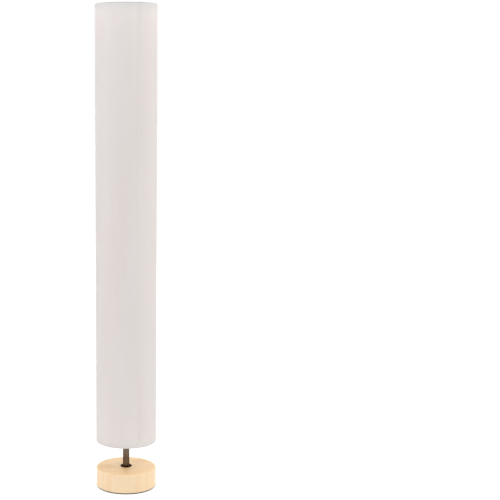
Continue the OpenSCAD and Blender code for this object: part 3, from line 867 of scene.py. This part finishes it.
class LAMP_OT_pole(bpy.types.Operator):
    """Finish the pole's tubes, brackets and spacer"""

    bl_idname = "floor_lamp.pole"
    bl_label = "Pole"

    def execute(self, context):
        carry(finish(bronze_paint), "neck_tube", "lower_tube", "middle_tube", "upper_tube")
        carry(finish(zinc_steel), "lower_spacer", "lower_bracket", "upper_bracket", "tube_inserts")
        carry(finish(black_plastic), "lead_grommets")
        return {"FINISHED"}


class LAMP_OT_fastenings(bpy.types.Operator):
    """Make the threaded rod, nipples and stud, and finish the nuts and washers"""

    bl_idname = "floor_lamp.fastenings"
    bl_label = "Rod, nipples, nuts and stud"

    def execute(self, context):
        zinc, yellow = finish(zinc_steel), finish(brass)
        rod = Shape()
        low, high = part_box("base_rod")
        hollow_screw(rod, 0.0, low.z, high.z)
        rod.piece("threaded_rod", "stand", "zinc_steel", [zinc], ["base_rod"])

        # The pole's nipples stand in the middle of the sheets between its tubes
        spacer_half, bracket_half, into_holder = 1 * MM, 1.25 * MM, 11 * MM
        middles = [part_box("lower_spacer")[1].z - spacer_half]
        middles += [z - bracket_half for z in BRACKET_TOPS.values()]
        nipples = Shape()
        for middle in middles:
            hollow_screw(nipples, 0.0, middle - NIPPLE_REACH, middle + NIPPLE_REACH)
        nipples.piece("threaded_nipples", "stand", "zinc_steel", [zinc], ["pole_nipples"])

        short = Shape()
        for z in BRACKET_TOPS.values():
            hollow_screw(short, HOLDER_X, z - NIPPLE_REACH, z + into_holder)
        short.piece("lampholder_nipples", "stand", "brass", [yellow], ["holder_nipples"])

        make_stud().piece("threaded_stud", "stand", "zinc_steel", [zinc], ["top_stud"])
        carry(zinc, "base_washer", "lock_washer", "holder_nuts")
        carry(yellow, "base_nut")
        return {"FINISHED"}


def make_stud():
    """The plug in the pole's top, with the shoulder that carries the hub and the nut's thread."""
    low, high = (corner.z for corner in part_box("top_stud"))
    hub_thickness, shoulder_thickness, plain = 3 * MM, 3 * MM, 2.5 * MM
    foot = HUB_TOP - hub_thickness - shoulder_thickness
    top = foot + shoulder_thickness
    plug, plug_end, plug_bevel = 6.95 * MM, 6.4 * MM, 0.6 * MM
    shoulder, eased = 11 * MM, 0.4 * MM
    radius, tip, tip_bevel, depth, pitch = 4 * MM, 3 * MM, 0.5 * MM, 0.6 * MM, 1.25 * MM
    rows = [(0, low), (plug_end, low), (plug, low + plug_bevel), (plug, foot)]
    rows += [(shoulder - eased, foot), (shoulder, foot + eased)]
    rows += [(shoulder, top - eased), (shoulder - eased, top)]
    rows += [(radius, top), (radius, top + plain)]
    rows += thread_rows(top + plain, high - tip_bevel, radius, depth, pitch)
    rows += [(tip, high), (0, high)]
    stud, sides = Shape(), 48
    stud.turned(rows, sides)
    return stud


class LAMP_OT_nut(bpy.types.Operator):
    """Make the fluted nut that holds the shade"""

    bl_idname = "floor_lamp.nut"
    bl_label = "Fluted nut"

    def execute(self, context):
        low, high = (corner.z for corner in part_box("finial"))
        hole, hole_end = 4.05 * MM, low + 18 * MM
        full, foot, foot_bevel, collar = 9 * MM, 8.4 * MM, 0.6 * MM, 2.6 * MM
        flutes, flute_depth, flutes_from = 18, 0.55 * MM, 3.4 * MM
        dome, flat_top, steps = 3 * MM, 4 * MM, 8

        def fluted(r, depth):
            return lambda angle: r - depth * (0.5 + 0.5 * math.cos(flutes * angle)) ** 2

        rows = [(0, hole_end), (hole, hole_end), (hole, low), (foot, low)]
        rows += [(full, low + foot_bevel), (full, low + collar)]
        # The flutes start gently above the plain collar, and end half way over the dome
        for rise, depth in ((2.9 * MM, 0.1 * MM), (3.1 * MM, 0.3 * MM), (3.3 * MM, 0.5 * MM)):
            rows.append((fluted(full, depth), low + rise))
        tall = high - low - dome - flutes_from
        for k in range(1, steps + 1):
            rows.append((fluted(full, flute_depth), low + flutes_from + tall * k / steps))
        for k, (r, z) in enumerate(arc((full - dome, high - dome), dome, 0, 90, steps)[1:]):
            share = max(0.0, 1 - k / (steps / 2))
            rows.append((fluted(r, flute_depth * share), z))
        rows += [(flat_top, high), (0, high)]
        nut = Shape()
        nut.turned(rows, 8 * flutes)
        nut.piece("fluted_nut", "finial", "bronze_paint", [finish(bronze_paint)], ["finial"], 45.0)
        return {"FINISHED"}


class LAMP_OT_lampholders(bpy.types.Operator):
    """Finish the two lampholders with their cores, shells and contacts"""

    bl_idname = "floor_lamp.lampholders"
    bl_label = "Lampholders"

    def execute(self, context):
        white, yellow = finish(white_plastic), finish(brass)
        for place in BRACKET_TOPS:
            carry(white, f"{place}_holder", f"{place}_core")
            carry(yellow, f"{place}_screw_shell", f"{place}_contact")
        return {"FINISHED"}


class LAMP_OT_bulbs(bpy.types.Operator):
    """Make the bulbs' screw caps, and finish their housings and globes"""

    bl_idname = "floor_lamp.bulbs"
    bl_label = "Bulbs"

    def execute(self, context):
        looks = [finish(cap_nickel), finish(cap_glass), finish(solder)]
        for place in BRACKET_TOPS:
            cap = make_screw_cap(f"{place}_bulb_cap")
            cap.piece(
                f"{place}_screw_cap", f"{place}_bulb", "cap_nickel", looks, [f"{place}_bulb_cap"], 50.0
            )
            carry(finish(white_plastic), f"{place}_bulb_housing")
            carry(finish(bulb_glass), f"{place}_bulb_globe")
        return {"FINISHED"}


def make_screw_cap(node):
    """A bulb's cap: a metal shell with a round thread, a glass cone and a bead of solder."""
    glass_part, solder_part = 1, 2
    low, high = (corner.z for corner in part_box(node))
    foot = low + 2 * MM
    centre, sides, shell_sides = (HOLDER_X, 0.0), 48, 72
    bead, bead_middle = 1.4 * MM, 2.6 * MM
    bead_edge = (4.2 * MM, foot + 0.1 * MM)
    glass_edge = (11.2 * MM, foot + 3.4 * MM)
    crest, depth, pitch = 13.1 * MM, 0.95 * MM, 3.62 * MM
    thread_low, thread_high = foot + 4.4 * MM, high - 2.4 * MM
    cap = Shape()
    tip = [(0, low)] + arc((bead_middle, low + bead), bead, -90, 0, 5)
    cap.turned(tip + [bead_edge], sides, centre, part=solder_part)
    cone = [(6.5 * MM, foot + 0.3 * MM), (9.2 * MM, foot + 1.4 * MM)]
    cap.turned([bead_edge, *cone, glass_edge], sides, centre, part=glass_part)
    rows = [glass_edge, (11.9 * MM, foot + 3.9 * MM), (12.2 * MM, thread_low)]
    rows += thread_rows(thread_low, thread_high, crest, depth, pitch, steps=10, round_crest=True)
    rows += [(12.9 * MM, high - 1.9 * MM), (crest, high - 1.2 * MM), (crest, high), (0, high)]
    cap.turned(rows, shell_sides, centre)
    return cap


def rounded_route(corners, cuts, steps=9):
    """A route whose corners are eased; each curve starts and ends its cut away from the corner."""
    corners = [Vector(c) for c in corners]
    path = [corners[0]]
    for before, here, after, cut in zip(corners, corners[1:], corners[2:], cuts):
        start = here + (before - here).normalized() * cut
        end = here + (after - here).normalized() * cut
        for k in range(steps + 1):
            t = k / steps
            path.append((1 - t) ** 2 * start + 2 * t * (1 - t) * here + t * t * end)
    return path + [corners[-1]]


class LAMP_OT_wires(bpy.types.Operator):
    """Make the wires inside the pole, and finish their connectors"""

    bl_idname = "floor_lamp.wires"
    bl_label = "Internal wires"

    def execute(self, context):
        radius, sides = 1.5 * MM, 16
        # From the connectors low in the base, up the pole side by side, out through a slanting
        # hole and up into the lampholder
        out_y, in_y, cap_level = 32 * MM, 23 * MM, 11 * MM
        turn_y, run_level = 12 * MM, 6.2 * MM
        apart, caps_apart = 1.65 * MM, 3.4 * MM
        exit_drop, tube_wall, past = 44 * MM, 7.5 * MM, 13 * MM
        slope = math.tan(math.radians(30))
        cuts = [4 * MM, 4 * MM, 6 * MM, 5 * MM, 10 * MM]
        for place, side in (("lower", 1), ("upper", -1)):
            z = BRACKET_TOPS[place]
            hole = z - exit_drop
            x, end_x = side * apart, side * caps_apart
            corners = [
                (end_x, out_y, cap_level),
                (end_x, in_y, cap_level),
                (x, turn_y, run_level),
                (x, 0, run_level),
                (x, 0, hole - (tube_wall - x) * slope),
                (HOLDER_X, 0, hole + (HOLDER_X - tube_wall) * slope),
                (HOLDER_X, 0, z + past),
            ]
            wire = Shape()
            wire.tube(rounded_route(corners, cuts), radius, sides)
            wire.piece(
                f"{place}_wire", "stand", "wire_cover", [finish(wire_cover)], [f"{place}_lead"], 50.0
            )
        carry(finish(white_plastic), "splice_caps")
        return {"FINISHED"}


class LAMP_OT_stage(bpy.types.Operator):
    """Set the floor, the soft light and the camera"""

    bl_idname = "floor_lamp.stage"
    bl_label = "Floor, light and camera"

    def execute(self, context):
        look, scene = context.scene.floor_lamp, context.scene
        make_floor(scene)
        make_sky(scene, look.sky)
        power = look.lamp_power
        soft_lamp(scene, "lamp_left", (-3.3, -1.6, 3.2), (0.96, 0.94, 1.0), power)
        soft_lamp(scene, "lamp_right", (3.5, -0.6, 3.0), (1.0, 0.985, 0.95), power * 1.05)
        soft_lamp(scene, "lamp_back", (0.4, 3.4, 2.4), (1.0, 1.0, 1.0), power * 0.5)

        camera = bpy.data.objects.new("camera", bpy.data.cameras.new("camera"))
        scene.collection.objects.link(camera)
        camera.location = (0.0, -look.camera_distance, look.camera_height)
        aim_at(camera, look.aim_height)
        camera.data.lens = look.lens
        camera.data.sensor_width = 36.0
        camera.data.shift_x = look.side_shift
        scene.camera = camera
        scene.view_settings.view_transform = "Standard"
        return {"FINISHED"}


def make_floor(scene):
    """A wide floor that glows where it is seen, so that it shows as white with a faint shadow."""
    reach, level, tone, strength = 30.0, -0.0002, 0.78, 0.44
    corners = [(x * reach, y * reach, level) for x, y in ((-1, -1), (1, -1), (1, 1), (-1, 1))]
    mesh = bpy.data.meshes.new("floor")
    mesh.from_pydata(corners, [], [(0, 1, 2, 3)])
    floor = bpy.data.objects.new("floor", mesh)
    scene.collection.objects.link(floor)
    ground = Finish("floor_white")
    lit = ground.node("ShaderNodeBsdfDiffuse", sockets={"Color": (tone, tone, tone, 1.0)})
    glow = ground.node("ShaderNodeEmission", sockets={"Color": WHITE, "Strength": strength})
    both = ground.node("ShaderNodeAddShader", sockets={0: lit, 1: glow})
    shader = ground.node("ShaderNodeMixShader", sockets={0: seen(ground), 1: lit, 2: both})
    ground.node("ShaderNodeOutputMaterial", sockets={"Surface": shader})
    mesh.materials.append(ground.material)


def make_sky(scene, strength):
    """Soft light from all round, that itself shows as plain white."""
    world = bpy.data.worlds.new("studio")
    scene.world = world
    air = Finish("studio", world)
    soft = air.node("ShaderNodeBackground", sockets={"Strength": strength, "Color": WHITE})
    white = air.node("ShaderNodeBackground", sockets={"Strength": 1.0, "Color": WHITE})
    shader = air.node("ShaderNodeMixShader", sockets={0: seen(air), 1: soft, 2: white})
    air.node("ShaderNodeOutputWorld", sockets={"Surface": shader})


def seen(made):
    """1 where the camera sees a thing itself, or through gloss or glass."""
    path = made.node("ShaderNodeLightPath", output="Is Camera Ray")
    return path.highest(path.other("Is Glossy Ray")).highest(path.other("Is Transmission Ray"))


def soft_lamp(scene, name, place, tint, power):
    """A large square lamp that shines on the middle of the lamp's height."""
    size, aim_height = 2.4, 0.6
    data = bpy.data.lights.new(name, "AREA")
    data.size = size
    data.color = tint
    data.energy = power
    lamp = bpy.data.objects.new(name, data)
    lamp.location = place
    aim_at(lamp, aim_height)
    scene.collection.objects.link(lamp)


def aim_at(made, height):
    """Turns a camera or a light to a level on the lamp's axis."""
    aim = Vector((0, 0, height)) - made.location
    made.rotation_euler = aim.to_track_quat("-Z", "Y").to_euler()


OPERATORS = (
    LAMP_OT_stage,
    LAMP_OT_base,
    LAMP_OT_pole,
    LAMP_OT_fastenings,
    LAMP_OT_wires,
    LAMP_OT_lampholders,
    LAMP_OT_bulbs,
    LAMP_OT_nut,
    LAMP_OT_shade_frame,
    LAMP_OT_shade_cloth,
)


class LAMP_PT_panel(bpy.types.Panel):
    """The lamp's sizes, colours and pieces"""

    bl_idname = "LAMP_PT_panel"
    bl_label = "Column floor lamp"
    bl_space_type = "VIEW_3D"
    bl_region_type = "UI"
    bl_category = "Lamp"

    def draw(self, context):
        look = context.scene.floor_lamp
        for name in FloorLampSettings.__annotations__:
            self.layout.prop(look, name)
        for operator in OPERATORS:
            self.layout.operator(operator.bl_idname)


CLASSES = (FloorLampSettings, *OPERATORS, LAMP_PT_panel)


def register():
    for made in CLASSES:
        bpy.utils.register_class(made)
    bpy.types.Scene.floor_lamp = bpy.props.PointerProperty(type=FloorLampSettings)


def unregister():
    del bpy.types.Scene.floor_lamp
    for made in reversed(CLASSES):
        bpy.utils.unregister_class(made)


def main():
    register()
    for operator in OPERATORS:
        group, name = operator.bl_idname.split(".")
        getattr(getattr(bpy.ops, group), name)()


if __name__ == "__main__":
    main()
